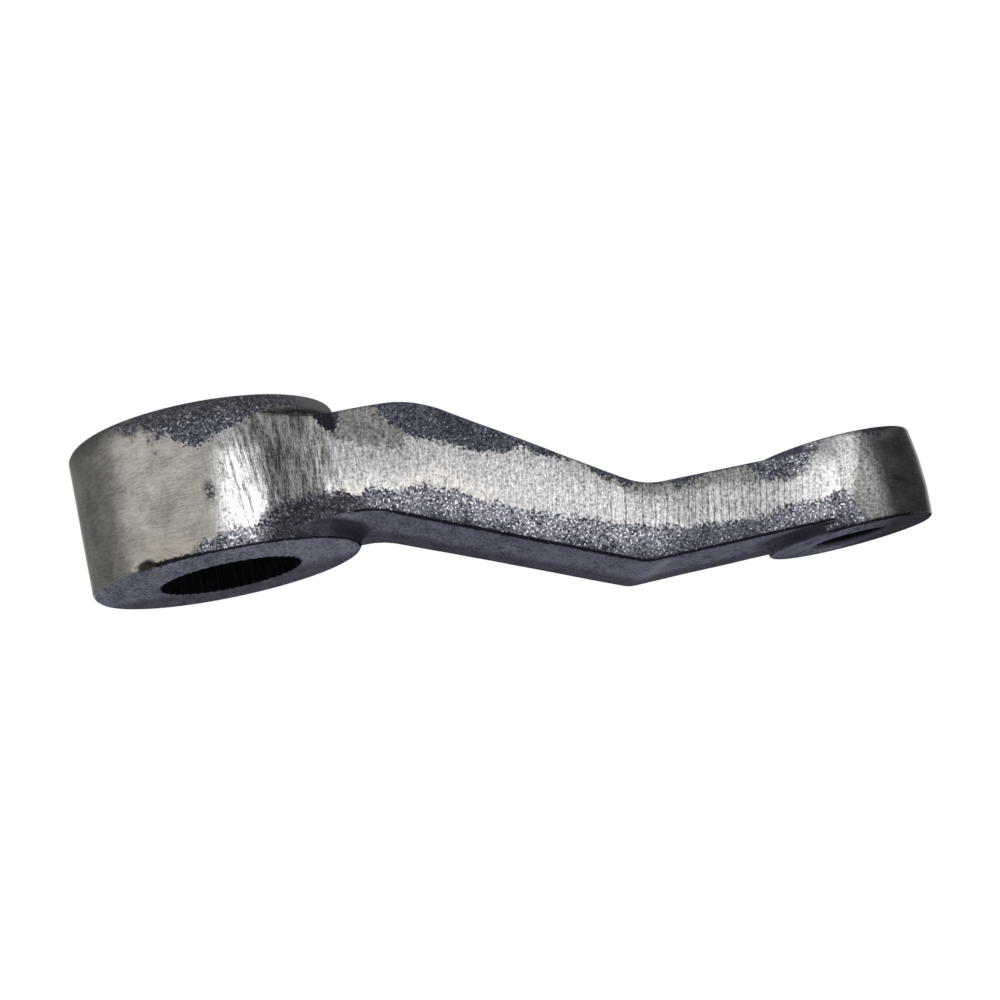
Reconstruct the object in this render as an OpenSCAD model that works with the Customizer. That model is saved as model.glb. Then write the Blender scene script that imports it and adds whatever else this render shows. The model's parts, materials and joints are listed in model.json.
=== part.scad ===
// Drop pitman arm: a one-piece steel forging that turns a steering gear's serrated shaft into
// the side-to-side push of a drag link. The big hub clamps on the shaft, the arm drops below it
// in an S bend, and the small eye at the far end takes the link's tapered ball stud.
//
// Frame: millimetres, origin on the bore's axis in the hub's lower face, where the nut seats.
// +Z runs up the bore towards the steering gear, +X from the hub's axis to the eye's axis.

/* [Hub] */
// Diameter of the hub across its ground land
hub_d = 59.6; // [54:0.1:70]
// Height of the hub between its machined faces
hub_h = 31.75; // [26:0.05:40]
// Height of the hub's ground land, where the flash was trimmed off
hub_land = 12; // [8:0.5:18]
// Edge radius of the hub's two faces
hub_edge = 1; // [0.5:0.1:2]

/* [Serrated bore] */
// Number of serrations in the bore
serration_count = 48; // [36:1:60]
// Diameter over the serrations' roots at the lower face, the small end of the taper
serration_root_d = 31.75; // [24:0.05:38]
// Depth of one serration
serration_depth = 0.85; // [0.4:0.05:1.2]
// Width of the flat at a serration's root
serration_root_flat = 0.35; // [0.1:0.05:0.6]
// Width of the land left on the tip of a tooth
serration_tip_land = 0.45; // [0.2:0.05:0.8]
// Length in which the bore's diameter grows by 1
bore_taper = 16; // [10:1:60]
// Lead-in chamfer at the gear side of the bore
bore_lead_in = 1; // [0.4:0.1:2]
// Broken edge at the nut side of the bore
bore_edge = 0.35; // [0.2:0.05:0.8]

/* [Eye] */
// Distance between the hub's axis and the eye's axis
centre_distance = 134.7; // [120:0.1:170]
// Diameter of the eye across its ground land
eye_d = 37.6; // [32:0.1:46]
// Height of the eye between its machined faces
eye_h = 20.2; // [16:0.1:26]
// How far the eye's lower face lies below the hub's lower face
eye_drop = 22.4; // [10:0.1:40]
// Height of the eye's ground land
eye_land = 8; // [4:0.5:12]
// Edge radius of the eye's two faces
eye_edge = 1; // [0.5:0.1:2]
// Diameter of the stud hole at the eye's lower face, its large end
stud_d = 16.4; // [12:0.1:20]
// Length in which the stud hole's diameter shrinks by 1
stud_taper = 8; // [6:0.5:12]
// Broken edge at both ends of the stud hole
stud_edge = 0.5; // [0.2:0.1:1]

/* [Arm] */
// Width of the arm across its ground land at the hub
arm_w_hub = 40.6; // [32:0.1:44]
// How far the eye stands out beside the arm, on each side
eye_shoulder = 0.6; // [0.4:0.1:4]
// Height of the arm's ground land
arm_land = 8; // [4:0.5:10]
// Share of the arm's thickness that lies above its parting line
parting_share = 0.46; // [0.4:0.01:0.6]
// Edge radius along the arm's upper and lower faces
arm_edge = 0.9; // [0.5:0.1:2]
// How far the hub stands above the arm's upper face
hub_step_top = 5.2; // [2:0.1:7]
// How far the hub stands below the arm's lower face
hub_step_bottom = 3.7; // [2:0.1:7]
// How far the eye stands above the arm's upper face
eye_step_top = 2.2; // [1:0.1:3]
// How far the eye stands below the arm's lower face
eye_step_bottom = 2.4; // [1:0.1:4]
// Fall of the arm's upper face between the hub and its knee
shoulder_fall = 1; // [0:0.1:3]
// Fall of the arm's upper face between its toe and the eye
toe_fall = 0.8; // [0:0.1:2]
// Distance from the hub's axis to the upper face's knee
knee_top_reach = 46; // [40:0.5:52]
// Distance from the hub's axis to the lower face's knee
knee_bottom_reach = 33.3; // [32:0.1:40]
// Distance from the eye's axis to the upper face's toe
toe_top_reach = 45; // [38:0.5:50]
// Distance from the eye's axis to the lower face's toe
toe_bottom_reach = 48.1; // [40:0.1:52]
// Bend radius of the upper face's knee
knee_top_bend = 24; // [12:1:30]
// Bend radius of the lower face's knee
knee_bottom_bend = 20; // [10:1:24]
// Bend radius of the upper face's toe
toe_top_bend = 16; // [8:1:24]
// Bend radius of the lower face's toe
toe_bottom_bend = 6; // [3:1:16]

/* [Forging] */
// Draft of every forged face, in degrees
draft = 5; // [1:0.5:7]
// Where the hub's wall runs off straight towards the arm, in degrees from straight sideways
hub_cheek = 27; // [23:0.5:32]
// Fillet between the hub's cheeks and the arm's sides
side_fillet = 8; // [2:0.5:12]
// Fillet between the arm's upper and lower faces and the hub
hub_fillet = 2.6; // [1:0.1:4]
// Fillet between the arm's upper and lower faces and the eye
eye_fillet = 1.2; // [0.6:0.1:2]

/* [Hidden] */
// Flat steps in a rounded edge of a turned profile or of the arm's section
edge_steps = 4;
// Points across half of the arm's upper or lower face
face_steps = 7;
// How far a cutter runs past the face that it leaves
overrun = 1;
// How deep a fillet's end bites into the hub or the eye, so that the surfaces cross cleanly
bite = 0.15;
// How deep the cheeks start inside the hub's land, so that they leave the wall without a ledge
cheek_bite = 0.6;
// How deep the arm's ends are buried in the hub's wall and in the eye
buried = 1.5;
// How closely the arm's sections follow the hub's or the eye's round wall beside it, up to 1
wrap_share = 0.96;

hub_r = hub_d / 2;
eye_r = eye_d / 2;
arm_half_hub = arm_w_hub / 2;
arm_half_eye = eye_r - eye_shoulder;
eye_z = -eye_drop;
eye_top_z = eye_z + eye_h;
bore_root_r = serration_root_d / 2;
bore_tip_r = bore_root_r - serration_depth;
// Radius that the bore gains for each millimetre of height
bore_slope = 1 / (2 * bore_taper);
// Radius of the bore's mouth at the gear side
bore_mouth_r = bore_root_r + bore_slope * hub_h + bore_lead_in / 2;
stud_r = stud_d / 2;
stud_slope = 1 / (2 * stud_taper);

// The arm's upper and lower faces in side view, each corner as [x, z, bend radius]
shoulder_top_z = hub_h - hub_step_top;
flat_top_z = eye_top_z - eye_step_top;
flat_bottom_z = eye_z + eye_step_bottom;
top_line = [
    [0, shoulder_top_z, 0],
    [knee_top_reach, shoulder_top_z - shoulder_fall, knee_top_bend],
    [centre_distance - toe_top_reach, flat_top_z + toe_fall, toe_top_bend],
    [centre_distance, flat_top_z, 0]
];
bottom_line = [
    [0, hub_step_bottom, 0],
    [knee_bottom_reach, hub_step_bottom, knee_bottom_bend],
    [centre_distance - toe_bottom_reach, flat_bottom_z, toe_bottom_bend],
    [centre_distance, flat_bottom_z, 0]
];

// A line of straight runs with a tangent arc at each corner: its height at x
function run_angle(line, i) = atan2(line[i + 1].y - line[i].y, line[i + 1].x - line[i].x);
function bend_reach(line, i) = line[i].z * tan(abs(run_angle(line, i) - run_angle(line, i - 1)) / 2);
function in_bend(line, i, x) =
    i > 0 && i < len(line) - 1
    && x > line[i].x - bend_reach(line, i) * cos(run_angle(line, i - 1))
    && x < line[i].x + bend_reach(line, i) * cos(run_angle(line, i));
function bend_z(line, i, x) =
    let (
        before = run_angle(line, i - 1),
        way = sign(run_angle(line, i) - before),
        reach = bend_reach(line, i),
        centre_x = line[i].x - reach * cos(before) - way * line[i].z * sin(before),
        centre_z = line[i].y - reach * sin(before) + way * line[i].z * cos(before)
    )
    centre_z - way * sqrt(max(0, line[i].z ^ 2 - (x - centre_x) ^ 2));
function run_of(line, x, i = 0) = (i >= len(line) - 2 || x < line[i + 1].x) ? i : run_of(line, x, i + 1);
function line_z(line, x) =
    let (i = run_of(line, x))
    in_bend(line, i, x) ? bend_z(line, i, x)
    : in_bend(line, i + 1, x) ? bend_z(line, i + 1, x)
    : line[i].y + (x - line[i].x) * tan(run_angle(line, i));

// Points of a rounded edge between two directions, about a centre
function edge_arc(centre, r, from, to) = [
    for (i = [0:edge_steps])
        let (a = from + (to - from) * i / edge_steps)
        centre + r * [cos(a), sin(a)]
];

// A forged boss, given as [radius of its land, height, height of its land, edge radius]
hub_boss = [hub_r, hub_h, hub_land, hub_edge];
eye_boss = [eye_r, eye_h, eye_land, eye_edge];
// How far the centre of a boss's rounded edge lies inside its land
function edge_inset(boss) =
    ((boss[1] - boss[2]) / 2 - boss[3]) * tan(draft) + boss[3] / cos(draft);
// The radius of a boss at height z above its lower face
function boss_r(boss, z) =
    let (
        from_middle = abs(z - boss[1] / 2),
        into_edge = from_middle - boss[1] / 2 + boss[3]
    )
    into_edge > 0 ? boss[0] - edge_inset(boss) + sqrt(max(0, boss[3] ^ 2 - into_edge ^ 2))
    : boss[0] - max(0, from_middle - boss[2] / 2) * tan(draft);

// Where the fillets on the arm's upper and lower faces run up to the two bosses
hub_rise_top = min(hub_fillet, hub_step_top - hub_edge);
hub_rise_bottom = min(hub_fillet, hub_step_bottom - hub_edge);
eye_rise_top = min(eye_fillet, 0.8 * eye_step_top);
eye_rise_bottom = min(eye_fillet, 0.8 * eye_step_bottom);
hub_wall_top = boss_r(hub_boss, hub_h - hub_step_top + hub_rise_top) - bite;
hub_wall_bottom = boss_r(hub_boss, hub_step_bottom - hub_rise_bottom) - bite;
eye_wall_top = boss_r(eye_boss, eye_h - eye_step_top + eye_rise_top) - bite;
eye_wall_bottom = boss_r(eye_boss, eye_step_bottom - eye_rise_bottom) - bite;
hub_wall = min(hub_wall_top, hub_wall_bottom);
eye_wall = min(eye_wall_top, eye_wall_bottom);

// What a fillet of radius r adds at distance d from the wall that it runs up
function fillet_rise(d, r) =
    d >= r ? 0 : r - sqrt(r ^ 2 - (r - max(d, 0)) ^ 2);
function top_rise(x, y) =
    max(
        fillet_rise(norm([x, y]) - hub_wall_top, hub_rise_top),
        fillet_rise(norm([x - centre_distance, y]) - eye_wall_top, eye_rise_top)
    );
function bottom_rise(x, y) =
    max(
        fillet_rise(norm([x, y]) - hub_wall_bottom, hub_rise_bottom),
        fillet_rise(norm([x - centre_distance, y]) - eye_wall_bottom, eye_rise_bottom)
    );

// Each section of the arm stands at a station s along X. It wraps round the hub or the eye where
// it is near one, and is flat between them.
function ease(t) =
    let (u = min(1, max(0, t)))
    u * u * (3 - 2 * u);
function bowed(reach, y, wrap) = reach - wrap * (reach - sqrt(max(0, reach ^ 2 - y ^ 2)));
function hub_wrap(s) = wrap_share * (1 - ease((s - flare_s) / (knee_top_reach - flare_s)));
function eye_wrap(reach) = wrap_share * (1 - ease((reach - eye_r - eye_fillet) / (0.8 * eye_r)));
function section_x(s, y) =
    s < centre_distance / 2 ? bowed(s, y, hub_wrap(s))
    : centre_distance - bowed(centre_distance - s, y, eye_wrap(centre_distance - s));

// Half the arm's width at a station. Beside the hub it follows a cheek that leaves the hub's wall on
// a tangent and turns into the arm's side with a fillet, and then tapers as far as the toe.
flare_wall = hub_r - cheek_bite;
cheek_normal = 90 - hub_cheek;
flare_y = arm_half_hub + side_fillet;
flare_x = (flare_wall + side_fillet - flare_y * sin(cheek_normal)) / cos(cheek_normal);
flare_centre = [flare_x, flare_y];
flare_span = norm(flare_centre);
cheek_s = norm(flare_centre - side_fillet * [cos(cheek_normal), sin(cheek_normal)]);
flare_s = norm([flare_x, arm_half_hub]);
function cheek_half(s) = s * sin(cheek_normal - acos(min(1, flare_wall / s)));
function fillet_half(s) =
    s * sin(atan2(flare_y, flare_x) - acos((s ^ 2 + flare_span ^ 2 - side_fillet ^ 2) / (2 * s * flare_span)));
function half_width(s) =
    s < cheek_s ? cheek_half(s)
    : s < flare_s ? fillet_half(s)
    : arm_half_hub + (arm_half_eye - arm_half_hub) * min(1, (s - flare_s) / (toe_end_x - flare_s));

// One section of the arm, from its upper middle round its +Y side and back by its -Y side.
// The draft and the edges are set out at its side, and each point then follows the arm's faces.
function section(s) =
    let (
        half = half_width(s),
        side_x = section_x(s, half),
        top = line_z(top_line, side_x),
        bottom = line_z(bottom_line, side_x),
        parting = top - parting_share * (top - bottom),
        land_top = parting + arm_land / 2,
        land_bottom = parting - arm_land / 2,
        inset_top = (top - arm_edge - land_top) * tan(draft),
        inset_bottom = (land_bottom - bottom - arm_edge) * tan(draft),
        edge_top = [half - inset_top - arm_edge / cos(draft), top - arm_edge],
        edge_bottom = [half - inset_bottom - arm_edge / cos(draft), bottom + arm_edge],
        outline = concat(
            [for (i = [0:face_steps - 1]) [edge_top.x * i / face_steps, top]],
            edge_arc(edge_top, arm_edge, 90, draft),
            [[half, land_top], [half, land_bottom]],
            edge_arc(edge_bottom, arm_edge, -draft, -90),
            [for (i = [face_steps - 1:-1:0]) [edge_bottom.x * i / face_steps, bottom]]
        ),
        side = [
            for (p = outline)
                let (
                    x = section_x(s, p.x),
                    near_top = line_z(top_line, x),
                    near_bottom = line_z(bottom_line, x),
                    share = (p.y - bottom) / (top - bottom),
                    up = max(0, p.y - land_top) / (top - land_top),
                    down = max(0, land_bottom - p.y) / (land_bottom - bottom)
                )
                [
                    x,
                    p.x,
                    near_bottom + share * (near_top - near_bottom)
                        + up * top_rise(x, p.x) - down * bottom_rise(x, p.x)
                ]
        ]
    )
    concat(side, [for (i = [len(side) - 2:-1:1]) [side[i].x, -side[i].y, side[i].z]]);

// Where the sections stand: close together where the arm curves, wide apart where it is straight
function steps(from, to, n) = [for (i = [0:n - 1]) from + (to - from) * i / n];
function closing_steps(from, to, n) = [for (i = [0:n - 1]) from + (to - from) * (i / n) ^ 2];
knee_end_x = top_line[1].x + bend_reach(top_line, 1);
toe_start_x = min(top_line[2].x - bend_reach(top_line, 2), bottom_line[2].x - bend_reach(bottom_line, 2));
toe_end_x = top_line[2].x + bend_reach(top_line, 2);
eye_reaches = concat(closing_steps(eye_wall, eye_r + 2 * eye_fillet, 7), [eye_r + 2 * eye_fillet]);
eye_start_x = centre_distance - eye_r - 2 * eye_fillet;
stations = concat(
    closing_steps(hub_wall, flare_s, 9),
    steps(flare_s, knee_end_x, 14),
    steps(knee_end_x, toe_start_x, 3),
    steps(toe_start_x, toe_end_x, 9),
    steps(toe_end_x, eye_start_x, 6),
    [for (i = [len(eye_reaches) - 1:-1:0]) centre_distance - eye_reaches[i]]
);
// The first and last sections are repeated a little deeper, inside the hub and the eye
arm_sections = [for (s = stations) section(s)];
hub_end = [for (p = arm_sections[0]) p - [buried, 0, 0]];
eye_end = [for (p = arm_sections[len(stations) - 1]) p + [buried, 0, 0]];

// Skin over a row of closed sections that all have the same number of points, each end closed by
// a fan about the middle of its section
module loft(sections) {
    rows = len(sections);
    n = len(sections[0]);
    first = 0;
    last = (rows - 1) * n;
    middle = rows * n;
    points = concat(
        [for (s = sections) each s],
        [(sections[0][0] + sections[0][n / 2]) / 2, (sections[rows - 1][0] + sections[rows - 1][n / 2]) / 2]
    );
    sides = [
        for (r = [0:rows - 2], i = [0:n - 1])
            let (a = r * n + i, b = r * n + (i + 1) % n)
            each [[a, b + n, a + n], [a, b, b + n]]
    ];
    caps = [
        for (i = [0:n - 1])
            let (k = (i + 1) % n)
            each [[middle, first + k, first + i], [middle + 1, last + i, last + k]]
    ];
    polyhedron(points, concat(sides, caps));
}

// A forged boss: a ground land between two drafted flanks, with rounded edges at both faces
module turned(boss) {
    r = boss[0];
    h = boss[1];
    land_low = (h - boss[2]) / 2;
    edge = boss[3];
    edge_r = r - edge_inset(boss);
    rotate_extrude($fn = 96)
        polygon(concat(
            [[0, 0]],
            edge_arc([edge_r, edge], edge, -90, -draft),
            [[r, land_low], [r, h - land_low]],
            edge_arc([edge_r, h - edge], edge, draft, 90),
            [[0, h]]
        ));
}

// One serration as a cutter, standing on the +X side and leaning out with the taper
module serration() {
    pitch = 2 * 180 / serration_count;
    mouth_half = bore_tip_r * tan(pitch / 2) - serration_tip_land / 2;
    root_half = serration_root_flat / 2;
    // The flanks run on inwards a little past the tips, where the bore is already open
    run_in = serration_tip_land / 4;
    inner_r = bore_tip_r - run_in;
    inner_half = mouth_half + run_in * (mouth_half - root_half) / serration_depth;
    rotate([0, atan(bore_slope), 0])
        translate([0, 0, -overrun])
            linear_extrude(hub_h + 3 * overrun)
                polygon([
                    [inner_r, -inner_half],
                    [bore_root_r, -root_half],
                    [bore_root_r, root_half],
                    [inner_r, inner_half]
                ]);
}

// The tapered bore with its serrations and its two broken edges
module serrated_bore() {
    translate([0, 0, -overrun])
        cylinder(
            h = hub_h + 2 * overrun,
            r1 = bore_tip_r - bore_slope * overrun,
            r2 = bore_tip_r + bore_slope * (hub_h + overrun),
            $fn = 96
        );
    for (i = [0:serration_count - 1])
        rotate([0, 0, i * 360 / serration_count])
            serration();
    translate([0, 0, -overrun])
        cylinder(h = overrun + bore_edge, r1 = bore_tip_r + bore_edge + overrun, r2 = bore_tip_r, $fn = 96);
    translate([0, 0, hub_h - bore_lead_in])
        cylinder(
            h = bore_lead_in + overrun,
            r1 = bore_mouth_r - bore_lead_in,
            r2 = bore_mouth_r + overrun,
            $fn = 96
        );
}

// The stud's tapered hole, large at the lower face, with both edges broken
module stud_hole() {
    top_r = stud_r - stud_slope * eye_h;
    translate([0, 0, -overrun])
        cylinder(
            h = eye_h + 2 * overrun,
            r1 = stud_r + stud_slope * overrun,
            r2 = top_r - stud_slope * overrun,
            $fn = 96
        );
    translate([0, 0, -overrun])
        cylinder(h = overrun + stud_edge, r1 = stud_r + stud_edge + overrun, r2 = stud_r, $fn = 96);
    translate([0, 0, eye_h - stud_edge])
        cylinder(h = overrun + stud_edge, r1 = top_r, r2 = top_r + stud_edge + overrun, $fn = 96);
}

// The hub with its bore
module hub() {
    difference() {
        turned(hub_boss);
        serrated_bore();
    }
}

// The arm and its eye, with the stud's hole
module arm_and_eye() {
    difference() {
        union() {
            loft(concat([hub_end], arm_sections, [eye_end]));
            translate([centre_distance, 0, eye_z])
                turned(eye_boss);
        }
        translate([centre_distance, 0, eye_z])
            stud_hole();
    }
}

module pitman_arm() {
    color("dimgray")
        union() {
            hub();
            arm_and_eye();
        }
}

pitman_arm();
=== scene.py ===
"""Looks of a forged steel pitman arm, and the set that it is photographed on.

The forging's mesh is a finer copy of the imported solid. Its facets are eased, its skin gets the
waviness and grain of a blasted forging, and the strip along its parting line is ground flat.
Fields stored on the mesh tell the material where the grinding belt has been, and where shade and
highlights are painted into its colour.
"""

import json
import math

import bpy
import numpy as np
from mathutils import Matrix, Vector


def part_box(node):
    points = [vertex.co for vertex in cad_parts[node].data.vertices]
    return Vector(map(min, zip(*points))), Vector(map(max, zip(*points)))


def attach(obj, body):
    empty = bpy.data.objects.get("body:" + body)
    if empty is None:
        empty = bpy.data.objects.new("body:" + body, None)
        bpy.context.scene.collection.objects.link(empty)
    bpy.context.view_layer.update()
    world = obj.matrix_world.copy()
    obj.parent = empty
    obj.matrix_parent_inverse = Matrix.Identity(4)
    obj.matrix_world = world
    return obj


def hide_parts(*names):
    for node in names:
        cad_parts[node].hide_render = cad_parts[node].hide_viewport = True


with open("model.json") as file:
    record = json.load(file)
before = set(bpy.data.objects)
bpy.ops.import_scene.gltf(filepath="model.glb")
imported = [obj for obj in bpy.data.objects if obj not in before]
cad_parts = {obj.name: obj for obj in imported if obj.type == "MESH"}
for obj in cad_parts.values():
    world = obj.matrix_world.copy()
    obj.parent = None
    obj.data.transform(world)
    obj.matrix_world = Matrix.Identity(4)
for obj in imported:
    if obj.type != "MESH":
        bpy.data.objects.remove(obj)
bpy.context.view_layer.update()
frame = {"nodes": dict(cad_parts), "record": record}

MM = 0.001
NODE = "pitman_arm"

# Sizes in millimetres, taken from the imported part
low, high = (np.array(corner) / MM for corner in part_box(NODE))
mounts = {m["name"]: np.array(m["pos_m"]) / MM for m in frame["record"]["mounts"]}
HUB_R = -low[0]
HUB_H = high[2]
EYE_X = mounts["stud_nut_seat"][0]
EYE_R = high[0] - EYE_X
EYE_TOP = mounts["stud_nut_seat"][2]
EYE_LOW = low[2]
# The bore's roots, its lead-in and the stud's hole at their widest, with the broken edges
BORE_R = 15.95
BORE_GROWTH = 1 / 32
LEAD_IN = 1.0
LEAD_IN_H = 1.1
STUD_R = 8.8
# Where the outer sides start: inside the hub's and the eye's walls, and the arm's half width in plan
WALL_REACH = 2.5
ARM_HALF = [(0, 17.6), (EYE_X, 15.4)]
HUB_SIDE_X = 24
HUB_SPARE = 0.2

# Mesh density in millimetres: the longest edge left on sides, on faces and in the bores.
# It keeps the piece under 200,000 triangles.
SIDE_EDGE = 1.0
FACE_EDGE = 1.6
BORE_EDGE = 6.0
# Easing of the facets: edges that bend by more degrees than this are held, then all are softened a little
SHARP = 16
EASE_ROUNDS = 15
EASE_STEP = 0.5
SOFTEN_STEP = 0.3
# Edges that bend by more degrees than this are shaded as edges
CREASE = 42
# How far inside the hub's land the belt made its wall straight
BELT_CUT = 0.35

# How far grinding and trimming reached on the arm's side, as (x, z) in millimetres.
# Between the lower and the upper border the skin is ground off.
HUB_GROUND_TOP = [
    (-30, 36), (-22, 34), (-15, 32), (-9, 29.5), (-4, 26), (-1, 23), (1.5, 21.7), (6, 23.7),
    (12.5, 26.6), (15.4, 27.6), (17.2, 28.6), (20, 28.6), (23, 28.2), (26, 27.6), (30, 27.5),
]
GROUND_TOP = [
    (0, 36), (23.8, 36), (24.9, 25.5), (26.6, 22.9), (28.8, 21.1), (29.9, 22.7), (31, 27), (37, 28),
    (38, 24.7), (41, 20), (44, 16.9), (48, 15.2), (52, 13.6), (57.5, 10.5), (61, 9.8), (66, 9.4),
    (71, 8.2), (75, 8.2), (80, 5), (87, 0), (94, -3), (97, -6), (100, -5), (103, -2), (111, -3),
    (115, -8.5), (119, -9), (121, -8.9), (123, -8.2), (124.9, -6.6), (126.4, -4.9),
    (127.8, -3.4), (129.5, -1.5), (136, 1), (138, -3.5), (141, -5), (146, -3.5), (150, 0), (160, 2),
]
GROUND_LOW = [
    (-30, -4), (-5.5, -4), (-3.2, 1.0), (-0.5, 2.9), (4, 4.1), (9.5, 3.8), (12, 6), (14, 8.2),
    (23, 9.4), (28.5, 8.7), (30.5, 7.4), (33.5, 8.2), (37, 6.8), (45, 6.1), (48, 4.4), (51, 3.7),
    (55, 0.8), (59, -0.8), (63, -3.3), (71, -6.3), (76, -8.1), (82, -10.7), (89, -12.8), (96, -14.3),
    (105, -15.5), (110, -15.9), (114.5, -15.7), (120, -14.7), (124, -15.6), (126, -15.5), (127.5, -15),
    (129, -14.4), (130.7, -14.4), (132.1, -18), (133.2, -20.4), (135, -26), (160, -28),
]
# The part of it that the last, finer pass made bright, and how much further down that pass may reach
BRIGHT_TOP = [
    (-30, 36), (-4, 34), (0, 30), (3, 28), (10, 27), (12.5, 24), (14.5, 18), (16, 8),
    (23.5, 6), (25.5, 14), (27, 20.5), (30, 19.2), (36, 16.4), (42, 15),
    (44, 17.5), (66, 10.2), (72, 9), (77, 4.5), (81, 0), (85, -3.4), (89, -5.8), (93.5, -7.1),
    (96, -6.8), (105, -7.3), (114.5, -8.8), (119, -9), (121, -8.9), (123, -8.2),
    (124.9, -6.6), (126.4, -4.9), (127.8, -3.4), (136, 2), (160, 4),
]
BRIGHT_SPARE = 1.5
# Right end of the bright part, on the eye, as (z, x)
BRIGHT_END = [(-22, 128.5), (-15, 132.4), (-3, 137.4)]
# Where the hub's belt-ground satin ends, as (z, x), and where the eye's starts
SATIN_END = [(0, 2.5), (10, 2.6), (14.5, 3.1), (20, 4.3), (24, 4.8), (32, 6)]
EYE_SATIN_X = 139.5
# How far the skin reaches down from the arm's upper edge, along x, and where that edge is looked up
FRINGE = [
    (62, -3), (66, 2.6), (70.5, 2.8), (74, 1.8), (76.5, 0.6), (78, 0.8), (81, 1.6), (86, 1.8),
    (89, 0.5), (96, 0.3), (99, 1.2), (103, 0.3), (114, -3),
]
FRINGE_STOPS = np.arange(56, 122, 1.5)
FRINGE_REACH = 1
# How far the borders on the hidden side stray from those in view: reach and width of their waves, and the
# height in the noise and the seed of the upper and the lower border
STRAY = 1.6
STRAY_SIZE = 13
STRAY_TOP = (40, 11)
STRAY_LOW = (90, 12)
# Up to here outside the hub's wall, its own upper border holds
HUB_BORDER_REACH = 0.5
# The brightest part of the strip on the eye: its upper border, as (x, z), its right end and its edge
TONGUE_TOP = [(116, -9), (120, -9.1), (126, -8), (129.5, -6.7), (132.7, -7), (134, -9.5)]
TONGUE_END = 133
TONGUE_EDGE = 0.6

# How bright the last pass left the strip, along x, as a share of clean steel
BAND_LEVEL = [
    (10.5, 1.0), (14, 0.65), (18, 0.6), (23, 0.6), (26, 0.65), (28, 0.96), (31, 1.1), (37, 1.07),
    (44, 1.02), (58, 0.97), (68, 0.9), (76, 0.77), (80, 0.76), (86, 0.71), (94, 0.65), (97, 0.57),
    (115, 0.51), (118, 0.54), (120, 0.61), (123, 0.69), (126, 0.71), (128.5, 0.82), (131, 1.05),
    (133, 1.1), (134.5, 0.75), (139, 0.53),
]
# From here on that level leans as the rows do, about this height
LEVEL_LEAN_X = EYE_X - 20
LEVEL_LEAN_Z = -10
# The same across the strip, from its lower to its upper border: on the arm, and near the hub, where it
# falls off as a power, as the warm light there does
ARM_ACROSS = (1.06, 0.9)
HUB_ACROSS = (1.32, 0.72)
HUB_ACROSS_POWER = 2.2
WARM_POWER = 2
# The same for the parts that only the first pass reached
DULL_LEVEL = [
    (0, 1.0), (13, 1.15), (22, 1.2), (26, 1.1), (30, 1.0), (98, 1.0), (104, 0.92), (116, 0.92),
    (130, 1.0), (136, 0.9), (142, 0.7),
]
# Where the skin below the strip is worn light, along x
WORN_LEVEL = [
    (-30, 0.5), (3, 0.6), (5.5, 1.0), (9.5, 1.0), (13, 0.4), (17, 0.15), (30, 0.3), (36, 0.95),
    (60, 0.95), (84, 1.0), (94, 0.55), (99, 0.2), (112, 0.22), (118, 0.75), (122, 0.9), (140, 0.95),
]

# Forging skin in millimetres: depth of its waves and of its grain, and their widths
WAVE_DEPTH = 0.09
WAVE_SIZE = 11.0
PIT_DEPTH = 0.035
PIT_SIZE = 1.5
# A second, smaller wave and grain: their share of the depth, and how many times smaller they are
SECOND_WAVE = (0.5, 2.3)
SECOND_PIT = (0.7, 2)
WAVE_SEED = 1
PIT_SEED = 3
# How much of the grain the faces have, of the waves the ground strip keeps, and of all bumps stands out
FACE_PITS = 0.35
GROUND_WAVES = 0.4
OUTWARD = 0.6
# Rows that the grinding wheel leaves side by side: their width along x, how far they lean
# towards +x for each millimetre of height, their depth and how strongly they show
ROW_WIDTH = [(-30, 1.2), (30, 1.2), (50, 2.2), (84, 3.1), (94, 2.8), (103, 1.5), (120, 1.3), (160, 1.6)]
ROW_LEAN = 0.24
ROW_DEPTH = 0.04
ROW_STRENGTH = [
    (-2, 0.0), (4, 0.2), (14, 0.35), (26, 0.35), (34, 0.2), (74, 0.12), (82, 0.7), (117, 0.9),
    (124, 0.3), (132, 0.1),
]
ROW_STOPS = 400
# Where the rows pass from the hub's wall to the arm's side, and over what length their lean sets in
JOIN_X = 27
JOIN_Y = 20
LEAN_IN = 18
# Flat machined faces: their heights, and how near to them a point has to lie
FACE_HEIGHTS = (HUB_H, 0, EYE_TOP, EYE_LOW)
FACE_NEAR = 0.3
# Tooth ends between these faces belong to the bore, and so does what is steeper than this
TOOTH_END = 0.4
BORE_STEEP = 0.8
# A nick in the hub's lower rim: its place, its length along the rim, its depth and how flat it is
NICK = (-13.6, -25.6, 0.9)
NICK_REACH = 3.3
NICK_DEPTH = 1.2
NICK_FLAT = (1, 1, 1.6)
# A scuff beside the hub's highlight: its place and its reach round the hub and along the bore
SCUFF = (2.3, 12.4)
SCUFF_REACH = (1.5, 2.6)
# The line under the hub's upper edge where the cheeks end: its height at an x, and its slope
LEDGE_X = 20
LEDGE_Z = 27.4
LEDGE_SLOPE = 0.06
# The painted reflection along the toe's bend underneath: its x in the middle, and how it leans along y
TOE_X = 89.4
TOE_LEAN = 0.11
# How far the dust of the faces is drawn out along y, on the lower and on the upper ones
LOWER_DRAWN = 0.3
UPPER_DRAWN = 0.8
# The hub's own rim ends here, and the fillet beside it reaches so far out, across and back
HUB_RIM_X = 27
FILLET = 4
FILLET_HALF = 17.5
FILLET_X = 20
RIM_BLUR_ROUNDS = 2

# Fields are stored within this range
FIELD_RANGE = (-200, 300)
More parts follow.
